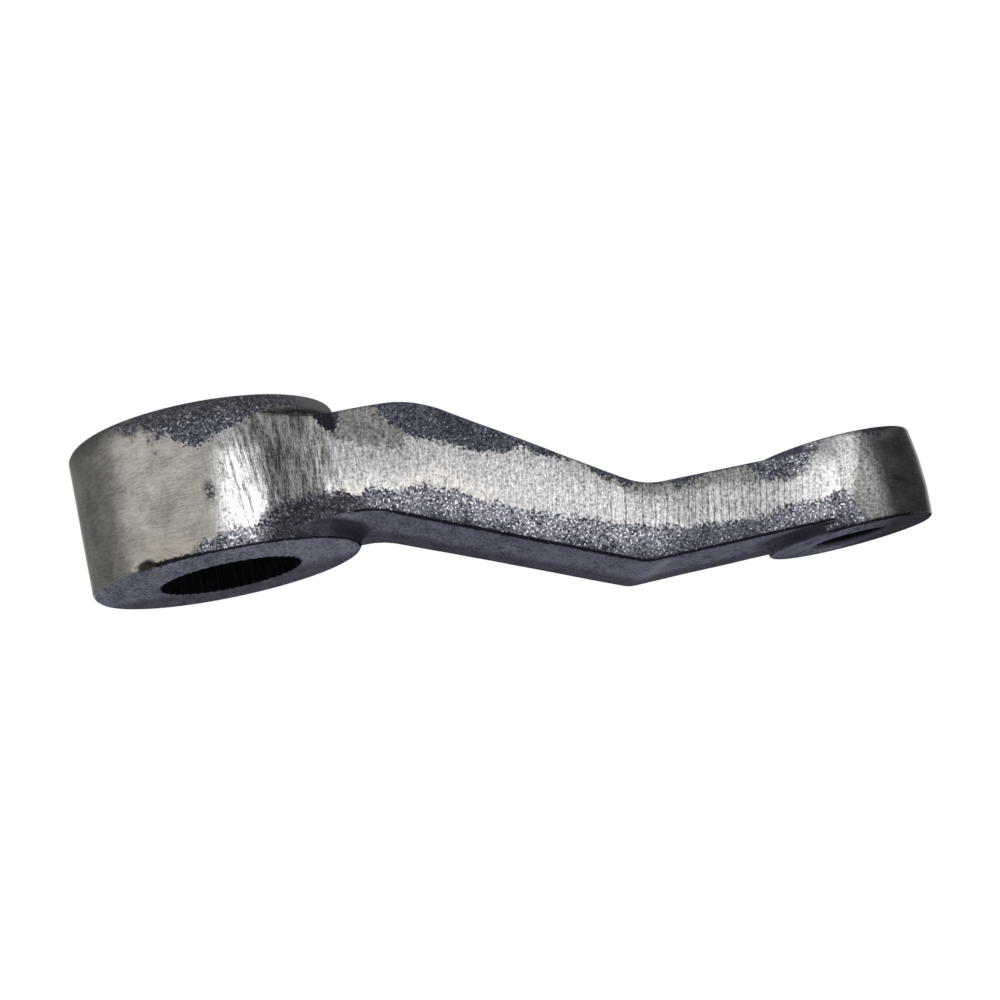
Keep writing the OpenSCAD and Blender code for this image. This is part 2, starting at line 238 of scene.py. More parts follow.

# Zones of wear, and of shade and highlights painted into the colour. Each lists eased steps by measure,
# as (where it is 0, where it is 1). Hub and eye are distances outside those walls, top and low are heights
# over the hub's upper and the eye's lower face, depth is the distance to the nearer hub face, past_eye is x
# from the eye's axis, below is how far under the ground strip, and up, down, level, across and ahead are
# parts of the normal.
BELTED = dict(x=[(4, -6)], hub=[(-1.6, -1.0)], depth=[(0.2, 1.4)])
UPRIGHT = dict(level=[(0.8, 0.4)])
FLAT = dict(level=[(0.9, 0.99)])
GROUND_OFF = dict(ground=[(-0.3, 0.3)])
SIDEWAYS = dict(across=[(0.35, 0.7)])
NEAR_HUB = dict(x=[(75, 45)])
WARM = dict(x=[(24, 30)])
# Worn skin: below the strip, over the eye's end of it with more towards the right, and on the hub's top
WORN_BELOW = dict(ground=[(-9, -2)], below=[(-1, 1)])
WORN_EYE = dict(x=[(110, 118), (131, 127)], z=[(-9.5, -8)])
WORN_EYE_RIGHT = dict(x=[(118, 124)])
WORN_EYE_LEVELS = (0.4, 0.9)
WORN_HUB = dict(x=[(18, 12)], z=[(19, 21)])
WORN_HUB_LEVEL = 0.22
# The hub's painted highlight, fading to the right, painted shade over it, and the duller steel on the eye
GLINT = dict(x=[(2.5, 4), (14, 11.5)], z=[(21.5, 19.5)])
GLINT_RIGHT = dict(x=[(6, 11)])
GLINT_LEVELS = (0.14, 0.014)
SHADE_OVER_GLINT = dict(x=[(14, 12)], z=[(19.5, 21.5)])
SHADE_OVER_GLINT_LEVEL = 0.15
EYE_BAND = dict(x=[(121, 125)])
EYE_BAND_RIGHT = dict(x=[(127, 130)])
EYE_BAND_LEVELS = (0.04, 0.16)
SCRATCHED_TOP = dict(x=[(11, 14), (26, 23)], z=[(17, 20)])
SCRATCHED_TOP_LEVEL = 0.3
# Painted shade in the steps under the hub and the eye, where the light does not reach
HUB_STEP = dict(x=[(21, 25)], hub=[(2.8, 0.6), (-1.6, -0.8)], z=[(5.5, 4)])
TURNED_STEP = dict(across=[(0.85, 0.6)], ahead=[(0.1, 0.3)], x=[(12, 16), (30, 27)], z=[(9, 7), (0.8, 1.6)])
TURNED_LEVEL = 0.75
EYE_STEP = dict(x=[(127, 124.5)], y=[(10, -12)], eye=[(6, 0.8), (-1.2, -0.6)], low=[(3.6, 2.6)])
# Painted shade along the line under the hub's upper edge, and on the top of the cheeks
LEDGE_SHADE = dict(off_ledge=[(1.3, 0.4)], x=[(14, 21), (29.5, 28)], hub=[(2.5, 1)])
CHEEK_TOP_SHADE = dict(up=[(0.12, 0.35)], z=[(25, 26.5), (29.6, 29)], x=[(10, 14), (28, 26.5)])
# Painted shade on the underside's far edge, where it turns up and away from the light
FAR_EDGE = dict(y=[(8, 17)], x=[(24, 30)], past_eye=[(-14, -18)])
FAR_EYE_EDGE = dict(eye=[(-8, 0)], y=[(0, 10)])
UNDERSIDE = dict(down=[(0.1, 0.4)])
# Painted shade on the lower rim, where the sides turn under: on the arm and the eye with a gap,
# and on the hub
RIM_SHADE = dict(down=[(0.2, 0.42), (0.965, 0.83)], x=[(26, 31), (148, 141)])
RIM_GAP = dict(x=[(125.5, 128.5)], low=[(1, 1.4)])
HUB_RIM_SHADE = dict(x=[(-16, -12)], down=[(0.4, 0.62), (0.93, 0.75)], z=[(2, 1)])
# Zones that are fields just as they are
PLAIN_ZONES = {
    # Painted shade in a corner between hub and arm that neither the wheel nor the light reached
    "pocket_shade": dict(x=[(22.5, 24.5), (30, 28.8)], z=[(19.5, 22)], hub=[(0.2, 1)]),
    # Painted shade along the hub's upper edge, and a painted highlight on the crescent at its right end
    "upper_edge_shade": dict(top=[(-6, -0.5)], x=[(21, 17)], hub=[(-4, -2.5)]),
    "crescent_light": dict(x=[(19.5, 25.5)], z=[(28.2, 29.2)], hub=[(-4, -2.5)]),
    # Skin in the shade of the hub
    "dim": dict(x=[(8, 12.5), (34, 28)], z=[(13, 9)]),
    # Painted shade on the eye's far end
    "shade": dict(past_eye=[(-1, 9)]),
    # Painted reflection along the toe's bend underneath
    "toe_light": dict(off_toe=[(3.4, 0.4)], down=[(0.8, 0.9)], y=[(15, 7), (-17, -13)]),
    "scuff": dict(off_scuff=[(1.3, 0.3)], y=[(-10, -20)]),
    # Where long scratches show more than grain
    "streaky": dict(x=[(2, 9), (31, 27)]),
    # Brown tint on the hub's lower left
    "rust": dict(x=[(-20, -10), (1, -3)], z=[(12, 3)]),
    # Where the strip's border breaks up into patches
    "patchy": dict(x=[(-3, -8)], z=[(16, 20)]),
}
# How far the ground strip's border is feathered, in millimetres: everywhere, and more in some zones
FEATHER = 0.35
FEATHERED = [
    (0.35, dict(x=[(28, 34)])),
    (2.2, dict(x=[(-3, -9)])),
    (1.2, dict(x=[(129, 131)])),
    (0.9, dict(x=[(116, 119), (131, 129)], z=[(-10, -9)])),
    (1.4, dict(x=[(1.5, -1)], z=[(12, 8)])),
    (0.9, dict(x=[(0, 2), (14, 12)], z=[(8, 6)])),
    (1.3, dict(x=[(11, 14), (28, 25)], z=[(12, 10)])),
]


# Mesh

def packed_triangles(obj):
    """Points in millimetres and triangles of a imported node, with shared corners merged."""
    mesh = obj.data
    mesh.calc_loop_triangles()
    points = np.zeros(len(mesh.vertices) * 3, np.float32)
    mesh.vertices.foreach_get("co", points)
    tris = np.zeros(len(mesh.loop_triangles) * 3, np.int32)
    mesh.loop_triangles.foreach_get("vertices", tris)
    rounded = np.round(points.reshape(-1, 3).astype(float) / MM, 4)
    merged, index = np.unique(rounded, axis=0, return_inverse=True)
    tris = index.reshape(-1)[tris].reshape(-1, 3)
    whole = (tris[:, 0] != tris[:, 1]) & (tris[:, 1] != tris[:, 2]) & (tris[:, 2] != tris[:, 0])
    return merged, tris[whole]


def edges_of(tris):
    """The mesh's edges, and which of them each triangle has from corner to corner."""
    sides = np.sort(tris[:, [[0, 1], [1, 2], [2, 0]]].reshape(-1, 2), axis=1)
    edges, index = np.unique(sides, axis=0, return_inverse=True)
    return edges, index.reshape(-1, 3)


def split_long_edges(points, tris, longest):
    """Halves edges until each is as short as longest(its middle) says."""
    while True:
        edges, index = edges_of(tris)
        middles = points[edges].mean(axis=1)
        lengths = np.linalg.norm(points[edges[:, 0]] - points[edges[:, 1]], axis=1)
        long = lengths > longest(middles)
        if not long.any():
            return points, tris
        halfway = np.full(len(edges), -1)
        halfway[long] = len(points) + np.arange(long.sum())
        points = np.vstack([points, middles[long]])
        tris = split_triangles(points, tris, halfway[index])


def split_triangles(points, tris, halfway):
    """Triangles split at the halfway points of their sides, where -1 is a side left whole."""
    split = halfway >= 0
    count = split.sum(axis=1)
    made = [tris[count == 0]]
    for k in range(3):
        a, b, c = (tris[:, (k + i) % 3] for i in range(3))
        ab, bc = (halfway[:, (k + i) % 3] for i in range(2))
        one = (count == 1) & split[:, k]
        made += [np.c_[a, ab, c][one], np.c_[ab, b, c][one]]
        two = (count == 2) & ~split[:, (k + 2) % 3]
        made.append(np.c_[ab, b, bc][two])
        from_a = np.linalg.norm(points[a] - points[bc], axis=1)
        from_c = np.linalg.norm(points[c] - points[ab], axis=1)
        short = two & (from_a < from_c)
        other = two & ~short
        made += [np.c_[a, ab, bc][short], np.c_[a, bc, c][short]]
        made += [np.c_[a, ab, c][other], np.c_[ab, bc, c][other]]
    all_three = count == 3
    a, b, c = tris[all_three].T
    ab, bc, ca = halfway[all_three].T
    made += [np.c_[a, ab, ca], np.c_[ab, b, bc], np.c_[ca, bc, c], np.c_[ab, bc, ca]]
    return np.vstack(made)


def unit(vectors):
    """The vectors at length 1."""
    return vectors / np.maximum(np.linalg.norm(vectors, axis=1), 1e-12)[:, None]


def face_normals(points, tris):
    """Each triangle's normal, as long as twice its area."""
    return np.cross(points[tris[:, 1]] - points[tris[:, 0]], points[tris[:, 2]] - points[tris[:, 0]])


def point_normals(points, tris):
    """Unit normals at the points."""
    normals = np.zeros_like(points)
    flat = face_normals(points, tris)
    for corner in tris.T:
        for axis in range(3):
            normals[:, axis] += np.bincount(corner, flat[:, axis], len(points))
    return unit(normals)


def averaged(values, edges):
    """Mean over each point's neighbours."""
    both = np.r_[edges[:, 0], edges[:, 1]]
    other = np.r_[edges[:, 1], edges[:, 0]]
    count = np.bincount(both, minlength=len(values))[:, None]
    total = np.stack([np.bincount(both, column[other], len(values)) for column in values.T], axis=1)
    return total / count


def sharp_points(points, tris, angle):
    """Which points lie on an edge that bends by more than angle, in degrees."""
    edges, index = edges_of(tris)
    normals = unit(face_normals(points, tris))
    order = np.argsort(index.reshape(-1), kind="stable")
    pairs = (order // 3).reshape(-1, 2)
    bend = (normals[pairs[:, 0]] * normals[pairs[:, 1]]).sum(axis=1)
    found = np.zeros(len(points), bool)
    found[edges[bend < math.cos(math.radians(angle))]] = True
    return found


def smooth_noise(points, size, seed):
    """Smooth noise from -1 to 1, with bumps about size across."""
    wrap = 32
    grid = np.random.default_rng(seed).uniform(-1, 1, (wrap, wrap, wrap))
    cell = points / size
    base = np.floor(cell).astype(int)
    part = cell - base
    part = part * part * (3 - 2 * part)
    total = np.zeros(len(points))
    for corner in np.ndindex(2, 2, 2):
        weight = np.prod(np.where(corner, part, 1 - part), axis=1)
        i, j, k = ((base + corner) % wrap).T
        total += weight * grid[i, j, k]
    return total


def doubled_noise(points, depth, size, second, seed):
    """Smooth noise in millimetres, with a second, smaller one on it."""
    share, times_smaller = second
    small = smooth_noise(points, size / times_smaller, seed + 1)
    return depth * (smooth_noise(points, size, seed) + share * small)


def ramp(value, start, end):
    """Eased step from 0 at start to 1 at end."""
    t = np.clip((value - start) / (end - start), 0, 1)
    return t * t * (3 - 2 * t)


def along(line, x):
    """Height of a line of (x, height) points at x."""
    return np.interp(x, *np.array(line, float).T)


def in_bore(points):
    """Which points lie inside the hub's bore or the stud's hole, with their broken edges."""
    x, y, z = points.T
    bore_r = BORE_R + BORE_GROWTH * np.clip(z, 0, None) + LEAD_IN * ramp(z, HUB_H - LEAD_IN_H, HUB_H)
    return (np.hypot(x, y) < bore_r) | (np.hypot(x - EYE_X, y) < STUD_R)


def on_side(points):
    """Which points lie on the outer sides, well away from the flat faces' middles."""
    x, y, _ = points.T
    from_hub = np.hypot(x, y)
    hub_wall = from_hub > HUB_R - WALL_REACH
    eye_wall = np.hypot(x - EYE_X, y) > EYE_R - WALL_REACH
    beside = np.abs(y) > along(ARM_HALF, x)
    at_hub = (x < HUB_SIDE_X) | (from_hub < HUB_R + HUB_SPARE)
    return np.where(at_hub, hub_wall, np.where(x > EYE_X, eye_wall, beside))


def longest_edge(points):
    """How long an edge may be at each point."""
    length = np.where(on_side(points), SIDE_EDGE, FACE_EDGE)
    return np.where(in_bore(points), BORE_EDGE, length)


def eased(points, tris, edges):
    """The points with their facets eased, while the bores hold, and at first the crisp edges too."""
    held = sharp_points(points, tris, SHARP) | in_bore(points)
    for _ in range(EASE_ROUNDS):
        step = EASE_STEP * (averaged(points, edges) - points)
        points = points + np.where(held[:, None], 0, step)
    step = SOFTEN_STEP * (averaged(points, edges) - points)
    return points + np.where(in_bore(points)[:, None], 0, step)


# Fields on the mesh

def measures(points, normals):
    """Where the points lie and how they face, in the terms that the zones are written in."""
    x, y, z = points.T
    return {
        "x": x,
        "y": y,
        "z": z,
        "hub": np.hypot(x, y) - HUB_R,
        "eye": np.hypot(x - EYE_X, y) - EYE_R,
        "past_eye": x - EYE_X,
        "top": z - HUB_H,
        "low": z - EYE_LOW,
        "depth": HUB_H / 2 - np.abs(z - HUB_H / 2),
        "off_ledge": np.abs(z - LEDGE_Z - LEDGE_SLOPE * (x - LEDGE_X)),
        "off_toe": np.abs(x - TOE_X + TOE_LEAN * y),
        "off_scuff": np.hypot((x - SCUFF[0]) / SCUFF_REACH[0], (z - SCUFF[1]) / SCUFF_REACH[1]),
        "ahead": normals[:, 0],
        "across": np.abs(normals[:, 1]),
        "up": normals[:, 2],
        "down": -normals[:, 2],
        "level": np.abs(normals[:, 2]),
    }


def zone(at, steps):
    """How far each point lies inside a zone: the product of its eased steps."""
    inside = np.ones(len(at["x"]))
    for measure, ends in steps.items():
        for start, end in ends:
            inside = inside * ramp(at[measure], start, end)
    return inside


def between(share, levels):
    """From the first level where share is 0 to the second where it is 1."""
    return levels[0] + share * (levels[1] - levels[0])


def stray(at, height, seed):
    """How far a border strays on the hidden side, in millimetres."""
    x = at["x"]
    line = np.c_[x, np.zeros_like(x), np.full_like(x, height)]
    return np.where(at["y"] > 0, STRAY * smooth_noise(line, STRAY_SIZE, seed), 0)


def strip_fields(at, side):
    """Distances in millimetres inside the ground strip, its bright part and the belt-ground ends.

    Adds the distance under the strip to the measures, and gives the place across the strip as well.
    """
    x, z = at["x"], at["z"]
    stray_top = stray(at, *STRAY_TOP)
    stray_low = stray(at, *STRAY_LOW)
    on_hub = at["hub"] < HUB_BORDER_REACH
    ground_top = np.where(on_hub, along(HUB_GROUND_TOP, x), along(GROUND_TOP, x)) + stray_top
    edge = [z[(np.abs(x - stop) < FRINGE_REACH) & (side > 0.5)].max() for stop in FRINGE_STOPS]
    fringe_top = np.interp(x, FRINGE_STOPS, edge) - along(FRINGE, x)
    fringed = (x > FRINGE[0][0]) & (x < FRINGE[-1][0])
    ground_top = np.where(fringed, np.minimum(ground_top, fringe_top), ground_top)
    ground_low = along(GROUND_LOW, x) + stray_low
    bright_top = along(BRIGHT_TOP, x) + stray_top
    ground = np.minimum(ground_top - z, z - ground_low)
    bright = np.minimum(bright_top - z, z - ground_low + BRIGHT_SPARE)
    bright = np.minimum(bright, along(BRIGHT_END, z) - x)
    satin = np.maximum(along(SATIN_END, z) - x, x - EYE_SATIN_X)
    at["ground"] = ground
    at["below"] = ground_low - z
    across_strip = np.clip((z - ground_low) / np.maximum(bright_top - ground_low, 1), 0, 1)
    return {"ground": ground, "bright": bright, "satin": satin}, across_strip


def level_fields(at, across_strip):
    """How bright the ground strip and the worn skin are."""
    x, z = at["x"], at["z"]
    near_hub = zone(at, NEAR_HUB)
    lean = ROW_LEAN * np.where(x > LEVEL_LEAN_X, z - LEVEL_LEAN_Z, 0)
    hub_across = between(1 - (1 - across_strip) ** HUB_ACROSS_POWER, HUB_ACROSS)
    across = between(near_hub, (between(across_strip, ARM_ACROSS), hub_across))
    band = along(BAND_LEVEL, x - lean) * across
    # Painted highlight on the hub, and painted shade over it
    band += zone(at, GLINT) * between(zone(at, GLINT_RIGHT), GLINT_LEVELS)
    band -= SHADE_OVER_GLINT_LEVEL * zone(at, SHADE_OVER_GLINT)
    tongue = ramp(along(TONGUE_TOP, x) - z, -TONGUE_EDGE, TONGUE_EDGE)
    tongue *= ramp(TONGUE_END - x, -TONGUE_EDGE, TONGUE_EDGE)
    band -= zone(at, EYE_BAND) * between(zone(at, EYE_BAND_RIGHT), EYE_BAND_LEVELS) * (1 - tongue)
    worn = zone(at, WORN_BELOW) * along(WORN_LEVEL, x)
    worn = np.maximum(worn, zone(at, WORN_EYE) * between(zone(at, WORN_EYE_RIGHT), WORN_EYE_LEVELS))
    worn = np.maximum(worn, WORN_HUB_LEVEL * zone(at, WORN_HUB))
    return {
        "band_level": band,
        "dull_level": along(DULL_LEVEL, x) + SCRATCHED_TOP_LEVEL * zone(at, SCRATCHED_TOP),
        "warm": near_hub * zone(at, WARM) * (1 - across_strip) ** WARM_POWER,
        "worn": worn,
    }


def rim_shade_field(at, points, edges):
    """Painted shade on the lower rim, blurred a little."""
    rim = zone(at, RIM_SHADE) * (1 - zone(at, RIM_GAP))
    in_fillet = (at["hub"] < FILLET) & (np.abs(at["y"]) < FILLET_HALF) & (at["x"] > FILLET_X)
    rim = np.where((at["x"] < HUB_RIM_X) | in_fillet, zone(at, HUB_RIM_SHADE), rim) * on_side(points)
    for _ in range(RIM_BLUR_ROUNDS):
        rim = 0.5 * rim + 0.5 * averaged(rim[:, None], edges)[:, 0]
    return rim


def zone_fields(at):
    """Wear, and shade and highlights painted into the colour, that depend on the place and the normal
    alone.
    """
    fields = {name: zone(at, steps) for name, steps in PLAIN_ZONES.items()}
    hub_step = np.maximum(zone(at, HUB_STEP), TURNED_LEVEL * zone(at, TURNED_STEP))
    fields["steps"] = hub_step + zone(at, EYE_STEP)
    fields["ledge"] = np.maximum(zone(at, LEDGE_SHADE), zone(at, CHEEK_TOP_SHADE))
    fields["edge_dark"] = np.maximum(zone(at, FAR_EDGE), zone(at, FAR_EYE_EDGE)) * zone(at, UNDERSIDE)
    fields["feather"] = FEATHER + sum(more * zone(at, steps) for more, steps in FEATHERED)
    fields["grain_y"] = np.where(at["up"] < 0, LOWER_DRAWN, UPPER_DRAWN) * at["y"]
    return fields


def row_fields(at):
    """Distance round the hub and along the sides, and the same counted in rows of the grinding wheel."""
    x, y, z = at["x"], at["y"], at["z"]
    away = np.where(y > 0, 1, -1)
    round_hub = HUB_R * np.arctan2(y, -x)
    join = HUB_R * (math.pi - math.atan2(JOIN_Y, JOIN_X))
    leaned = x - ROW_LEAN * ramp(x, JOIN_X, JOIN_X + LEAN_IN) * z
    stops = np.linspace(-HUB_R, high[0], ROW_STOPS)
    rows_so_far = np.cumsum(np.gradient(stops) / along(ROW_WIDTH, stops))
    hub_width = along(ROW_WIDTH, 0)
    rows_past_join = np.interp(leaned, stops, rows_so_far) - np.interp(JOIN_X, stops, rows_so_far)
    on_hub = x < JOIN_X
    return {
        "run": np.where(on_hub, round_hub, away * (join + leaned - JOIN_X)),
        "row": np.where(on_hub, round_hub / hub_width, away * (rows_past_join + join / hub_width)),
        "row_strength": along(ROW_STRENGTH, x),
    }


def skin_height(at, points, fields):
    """How far the skin stands out from the eased solid, in millimetres."""
    side = fields["side"]
    on_ground = zone(at, GROUND_OFF) * side
    waves = doubled_noise(points, WAVE_DEPTH, WAVE_SIZE, SECOND_WAVE, WAVE_SEED)
    pits = doubled_noise(points, PIT_DEPTH, PIT_SIZE, SECOND_PIT, PIT_SEED)
    rows = -ROW_DEPTH * fields["row_strength"] * (2 * (fields["row"] % 1) - 1) ** 2
    near_face = np.any([np.abs(at["z"] - face) < FACE_NEAR for face in FACE_HEIGHTS], axis=0)
    machined = zone(at, FLAT) * near_face
    forged = waves + pits * between(side, (FACE_PITS, 1))
    height = between(on_ground, (forged, GROUND_WAVES * waves + rows)) * (1 - machined)
    height = np.where(in_bore(points), 0, height) - NICK_DEPTH * fields["nick"]
    return np.where(height > 0, OUTWARD * height, height)


points, tris = packed_triangles(frame["nodes"][NODE])
points, tris = split_long_edges(points, tris, longest_edge)
edges, _ = edges_of(tris)
points = eased(points, tris, edges)

# The belt ground the hub's wall straight
at = measures(points, point_normals(points, tris))
wall_share = (HUB_R - BELT_CUT) / np.maximum(at["hub"] + HUB_R, 1)
points[:, :2] *= between(zone(at, BELTED), (1, wall_share))[:, None]

normals = point_normals(points, tris)
at = measures(points, normals)
side = zone(at, UPRIGHT) * on_side(points)
fields, across_strip = strip_fields(at, side)
fields["side"] = side
# Sides that look along the hub's and the eye's steps stay smooth
fields["grainy"] = side * zone(at, SIDEWAYS)
fields["rim"] = rim_shade_field(at, points, edges)
fields["nick"] = ramp(np.linalg.norm((points - NICK) * NICK_FLAT, axis=1), NICK_REACH, 0)
fields.update(level_fields(at, across_strip))
fields.update(zone_fields(at))
fields.update(row_fields(at))
points = points + normals * skin_height(at, points, fields)[:, None]

mesh = bpy.data.meshes.new("forging")
mesh.from_pydata((points * MM).tolist(), [], tris.tolist())
mesh.shade_smooth()
mesh.set_sharp_from_angle(angle=math.radians(CREASE))
for name, values in fields.items():
    layer = mesh.attributes.new(name, "FLOAT", "POINT")
    layer.data.foreach_set("value", np.clip(values, *FIELD_RANGE).astype(np.float32))
middles = points[tris].mean(axis=1)
steep = np.abs(unit(face_normals(points, tris))[:, 2]) < BORE_STEEP
in_hub = (middles[:, 0] < HUB_R) & (middles[:, 2] > TOOTH_END) & (middles[:, 2] < HUB_H - TOOTH_END)
bore_faces = in_bore(middles) & (steep | in_hub)
mesh.polygons.foreach_set("material_index", bore_faces.astype(np.int32))
forging = bpy.data.objects.new("forging", mesh)
bpy.context.scene.collection.objects.link(forging)
print("forging triangles", len(tris))


# Materials

class Graph:
    """Short names for putting a node tree together."""

    def __init__(self, tree):
        self.tree = tree
        tree.nodes.clear()

    def put(self, kind, inputs=(), **settings):
        """A new node. Its inputs are sockets to link, or constants to set."""
        node = self.tree.nodes.new(kind)
        for name, setting in settings.items():
            setattr(node, name, setting)
        for key, given in dict(inputs).items():
            if isinstance(given, bpy.types.NodeSocket):
                self.tree.links.new(given, node.inputs[key])
            else:
                node.inputs[key].default_value = given
        return node

    def math(self, operation, *given, clamp=False):
        return self.put("ShaderNodeMath", enumerate(given), operation=operation, use_clamp=clamp).outputs[0]

    def product(self, first, second):
        return self.math("MULTIPLY", first, second)

    def add(self, value, weight, base):
        """Base, with weight times value added to it."""
        return self.math("MULTIPLY_ADD", value, weight, base)

    def swing(self, noise, weight, base=0.0):
        """Base, moved up and down by a noise whose middle is 0.5."""
        return self.add(self.math("SUBTRACT", noise, 0.5), weight, base)

    def field(self, name):
        return self.put("ShaderNodeAttribute", attribute_name=name).outputs["Fac"]

    def millimetres(self):
        """The place on the object, and its x, y and z."""
        place = self.put("ShaderNodeTexCoord").outputs["Object"]
        mm = self.scaled(place, (1 / MM,) * 3)
        return mm, self.put("ShaderNodeSeparateXYZ", {0: mm}).outputs

    def scaled(self, vector, factors):
        inputs = {0: vector, 1: factors}
        return self.put("ShaderNodeVectorMath", inputs, operation="MULTIPLY").outputs[0]

    def joined(self, x, y, z):
        return self.put("ShaderNodeCombineXYZ", {0: x, 1: y, 2: z}).outputs[0]

    def noise(self, vector, size, detail=2.0, roughness=0.5):
        inputs = {"Vector": vector, "Scale": 1 / size, "Detail": detail, "Roughness": roughness}
        return self.put("ShaderNodeTexNoise", inputs).outputs[0]

    def ramp(self, value, start, end, low=0.0, high=1.0):
        """Eased step from low at start to high at end."""
        inputs = {"Value": value, "From Min": start, "From Max": end, "To Min": low, "To Max": high}
        return self.put("ShaderNodeMapRange", inputs, interpolation_type="SMOOTHSTEP").outputs[0]

    def level(self, value, start, end):
        """Straight step from 0 at start to 1 at end."""
        inputs = {"Value": value, "From Min": start, "From Max": end}
        return self.put("ShaderNodeMapRange", inputs).outputs[0]

    def mix(self, factor, first, second):
        inputs = {0: factor, 6: first, 7: second}
        return self.put("ShaderNodeMix", inputs, data_type="RGBA").outputs[2]

    def times(self, colour, factor):
        inputs = {0: 1.0, 6: colour, 7: factor}
        settings = {"data_type": "RGBA", "blend_type": "MULTIPLY", "clamp_result": True}
        return self.put("ShaderNodeMix", inputs, **settings).outputs[2]

    def blend(self, factor, first, second):
        inputs = {0: factor, 2: first, 3: second}
        return self.put("ShaderNodeMix", inputs, data_type="FLOAT").outputs[0]

    def tinted(self, colour, tints):
        """The colour after tints, each a field, its share and what it fades to."""
        for name, share, tint in tints:
            colour = self.mix(self.product(self.field(name), share), colour, tint)
        return colour

    def steel(self, colour, metal, rough, height, strength, depth):
        """The output of a steel, with bumps of a depth in millimetres."""
        bump = self.put("ShaderNodeBump", {"Height": height, "Strength": strength, "Distance": depth * MM})
        shader = self.put("ShaderNodeBsdfPrincipled", {
            "Base Color": colour, "Metallic": metal, "Roughness": rough, "Normal": bump.outputs[0],
            "Specular IOR Level": 0.0,
        })
        self.put("ShaderNodeOutputMaterial", {"Surface": shader.outputs[0]})


def new_material(name):
    """An empty node material, and its graph."""
    material = bpy.data.materials.new(name)
    material.use_nodes = True
    return material, Graph(material.node_tree)


# Noises, as size in millimetres, detail and roughness
FINE = (0.6, 1.4, 0.55)
FINER = (0.5, 1, 0.45)
CLOUD = (5.0, 3, 0.6)
JAG = (2.6, 3, 0.6)
DUST = (3.0, 4, 0.65)
DUST_GRAIN = (0.6, 2, 0.6)
ROW_BEND = (7.0, 1, 0.5)
SCRATCH = (0.45, 3, 0.7)
GOUGE = (0.72, 3, 0.8)
BRUSHED = (1.0, 3, 0.65)
DRAWN = (1.0, 3, 0.6)
# How many bumps a millimetre of height or width holds where a noise is drawn out
SCRATCH_STRETCH = 0.2
GOUGE_STRETCH = 0.1
BRUSHED_STRETCH = (0.5, 0.5, 3.2)
DRAWN_STRETCH = (3.0, 3.0, 0.3)
# From the hub's half to the eye's, along x
HALFWAY = (60, 70)

# Borders: how far the noises move them in millimetres, where patches start, and how soft each border is.
# Four values are a step along x and what it steps between.
JAG_REACH = 3.0
JAG_FINE_REACH = 3.2
PATCH_START = 0.56
PATCH_REACH = 26.0
GROUND_SIDE = (0.3, 0.6)
BRIGHT_CRISP = (80, 88, 1.0, 0.35)
BRIGHT_EDGE = (-0.8, 0.8)
SATIN_EDGE = (-2, 2)

# Blasted skin: its colours, and how wear, clouds and painted shade move its flecks and dots, which are
# in part painted glints
SKIN_DARK = (0.031, 0.034, 0.047, 1)
SKIN_FLECK = (0.13, 0.138, 0.165, 1)
WORN_FLECK = (0.33, 0.338, 0.4, 1)
SKIN_GLINT_DOT = (0.42, 0.43, 0.47, 1)
WORN_GLINT_DOT = (0.95, 0.95, 1.0, 1)
FLECK_BY_CLOUD = 0.3
FLECK_BY_WEAR = 0.07
FLECK_RANGE = (0.4, 0.72)
DOT_BY_CLOUD = 0.12
DOT_BY_WEAR = 0.075
DOT_BY_DIM = 0.04
DOT_RANGE = (0.62, 0.76)
DOTS_IN_DIM = 0.3
# Painted shade in the hub's shadow, in the corner by the hub and over the eye's far end
DIM_TINT = [("dim", 0.64, (0.016, 0.016, 0.021, 1))]
SKIN_TINTS = [("pocket_shade", 0.85, (0.012, 0.012, 0.016, 1)), ("shade", 0.82, (0.016, 0.016, 0.018, 1))]

# Smooth faces that the wheel never touches: colours on the hub and the arm, and where dust lies thicker
HUB_FACE = ((0.046, 0.049, 0.066, 1), (0.135, 0.14, 0.178, 1))
ARM_FACE = ((0.029, 0.031, 0.046, 1), (0.1, 0.104, 0.139, 1))
FACE_CHANGE = (26, 36)
DUST_GRAIN_SHARE = 1.1
DUST_RANGE = (0.28, 0.74)
RIGHT_DUST = (0, 20)
RIGHT_DUST_SHARE = 0.18
TOE_DUST = ((60, 75), (108, 98))
TOE_DUST_SHARE = 0.14
# Painted reflection on the toe's bend, and painted shade on the far edge and in the steps
FACE_TINTS = [
    ("toe_light", 0.55, (0.17, 0.176, 0.2, 1)),
    ("edge_dark", 0.6, (0.02, 0.02, 0.026, 1)),
    ("steps", 0.92, (0.018, 0.019, 0.027, 1)),
]

# Marks of the wheel: how much rows, their grooves, scratches, gouges and grain show, and how gouges lean
ROW_BEND_SHARE = 0.5
ROW_RANDOM = 0.6
ROW_SHARE = 0.18
GROOVE_WIDTH = 0.12
GROOVE_SHARE = 0.32
FINE_SHARE = 1.0
FINER_SHARE = 0.65
SCRATCH_SHARE = (112, 122, 1.25, 0.5)
GOUGE_LEAN = (8, 20, -0.09, 0.1)
GOUGE_SHARE = 3.0
STREAK_GRAIN = 0.7
# Ground steel: dark and light of the bright and of the dull part, and the warm light near the hub
BAND_RANGE = (0.1, 0.95)
BAND_STEEL = ((0.16, 0.157, 0.16, 1), (0.9, 0.882, 0.89, 1))
DULL_RANGE = (0.15, 0.85)
DULL_STEEL = ((0.06, 0.06, 0.057, 1), (0.33, 0.328, 0.318, 1))
WARM_RANGE = (0.4, 1.0)
WARM_STEEL = (0.98, 0.9, 0.76, 1)

